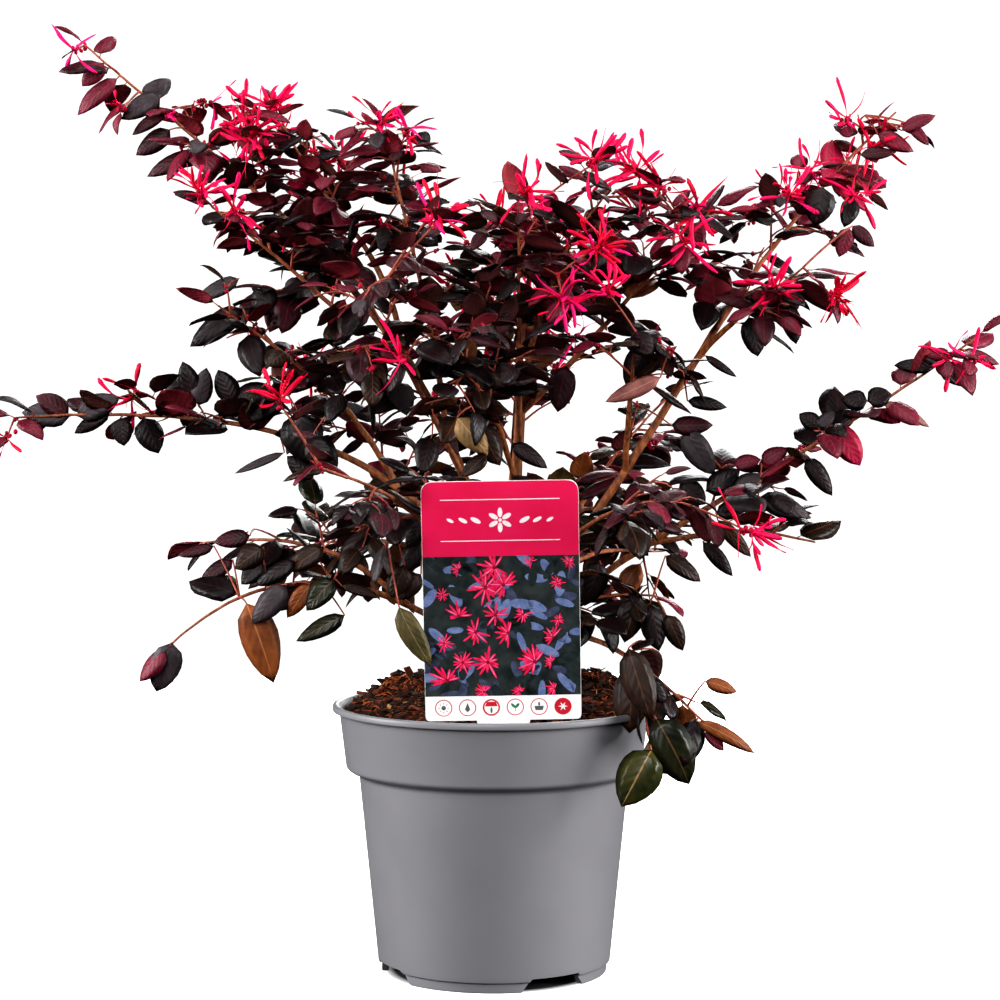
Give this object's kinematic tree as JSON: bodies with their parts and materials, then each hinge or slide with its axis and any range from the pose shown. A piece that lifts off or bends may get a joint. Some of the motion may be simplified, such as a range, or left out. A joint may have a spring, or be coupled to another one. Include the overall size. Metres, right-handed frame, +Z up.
{
  "type": "potted chinese fringe flower",
  "caption": "Low, wide flowering shrub with burgundy leaves and pink ribbon blossoms, in a round grey nursery pot with a picture card on a spike.",
  "frame": {"origin": "on the pot's axis, at the level that the pot stands on", "axes": "+Z up, +X to the right and -Y towards the viewer who faces the card"},
  "size_m": [0.5988, 0.3298, 0.5749],
  "materials": {
    "pot": "satin moulded plastic",
    "compost": "rough and crumbly",
    "card": "printed, semi gloss",
    "bark": "smooth young bark",
    "leaf": "satin leaf",
    "petal": "soft petal"
  },
  "bodies": {
    "root": {"bough_back_left": "bark", "bough_back_low_left": "bark", "bough_back_low_right": "bark", "bough_back_middle": "bark", "bough_back_right": "bark", "bough_back_top": "bark", "bough_centre": "bark", "bough_dome_left": "bark", "bough_dome_middle": "bark", "bough_dome_right": "bark", "bough_front_crown": "bark", "bough_front_left": "bark", "bough_front_right": "bark", "bough_left_arm": "bark", "bough_left_low": "bark", "bough_left_middle": "bark", "bough_left_tall": "bark", "bough_left_under": "bark", "bough_left_upper": "bark", "bough_right_arm": "bark", "bough_right_drop": "bark", "bough_right_fan": "bark", "bough_right_low": "bark", "bough_right_middle": "bark", "bough_right_star": "bark", "bough_right_tall": "bark", "bough_top_left": "bark", "bough_top_middle": "bark", "card": "card", "compost": "compost", "leaves_back_left": "leaf", "leaves_back_low_left": "leaf", "leaves_back_low_right": "leaf", "leaves_back_middle": "leaf", "leaves_back_right": "leaf", "leaves_back_top": "leaf", "leaves_centre": "leaf", "leaves_dome_left": "leaf", "leaves_dome_middle": "leaf", "leaves_dome_right": "leaf", "leaves_front_crown": "leaf", "leaves_front_left": "leaf", "leaves_front_right": "leaf", "leaves_left_arm": "leaf", "leaves_left_low": "leaf", "leaves_left_middle": "leaf", "leaves_left_tall": "leaf", "leaves_left_under": "leaf", "leaves_left_upper": "leaf", "leaves_right_arm": "leaf", "leaves_right_drop": "leaf", "leaves_right_fan": "leaf", "leaves_right_low": "leaf", "leaves_right_middle": "leaf", "leaves_right_star": "leaf", "leaves_right_tall": "leaf", "leaves_top_left": "leaf", "leaves_top_middle": "leaf", "pot": "pot", "trunk": "bark"}
  },
  "joints": []
}
